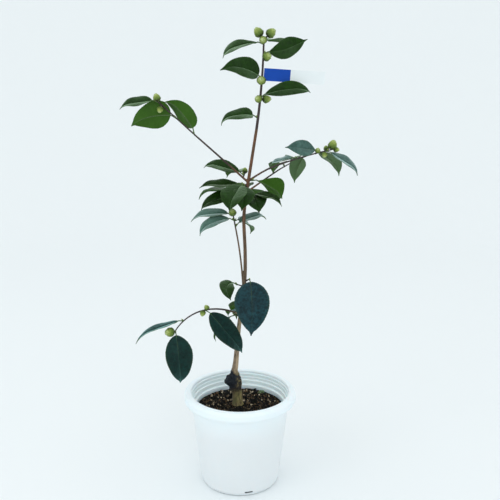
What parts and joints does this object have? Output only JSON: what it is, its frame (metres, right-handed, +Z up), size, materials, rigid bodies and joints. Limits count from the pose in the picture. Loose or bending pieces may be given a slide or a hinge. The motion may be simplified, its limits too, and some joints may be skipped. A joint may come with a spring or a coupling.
{
  "type": "potted camellia shrub",
  "caption": "Young grafted camellia in a white nursery pot, with a slender stem, spreading boughs, glossy leaves and plump flower buds.",
  "frame": {"origin": "centre of the pot's flat underside", "axes": "+Z up along the pot's axis, +X to the right and -Y towards the viewer of the picture"},
  "size_m": [0.3545, 0.18, 0.7189],
  "materials": {
    "pot_plastic": "satin white moulded plastic",
    "potting_soil": "rough granules of bark and grit",
    "bark": "matt bark",
    "foliage": "glossy leathery leaf",
    "label_plastic": "satin printed plastic strip, blank"
  },
  "bodies": {
    "root": {"pot": "pot_plastic", "soil": "potting_soil", "trunk": "bark", "plant_label": "label_plastic", "leader_bough": "bark", "left_bough": "bark", "right_bough": "bark", "lower_right_bough": "bark", "side_shoot_bough": "bark", "lower_left_bough": "bark", "foliage_top": "foliage", "foliage_left": "foliage", "foliage_right": "foliage", "foliage_lower_right": "foliage", "foliage_side_shoot": "foliage", "foliage_bough_foot": "foliage", "foliage_fork_left": "foliage", "foliage_fork_low_left": "foliage", "foliage_fork_front": "foliage", "foliage_fork_right": "foliage", "foliage_fork_low_right": "foliage", "foliage_fork_back": "foliage", "foliage_low_front": "foliage", "foliage_low_side": "foliage", "foliage_low_left": "foliage", "foliage_low_back": "foliage", "foliage_lower_left": "foliage"}
  },
  "joints": []
}
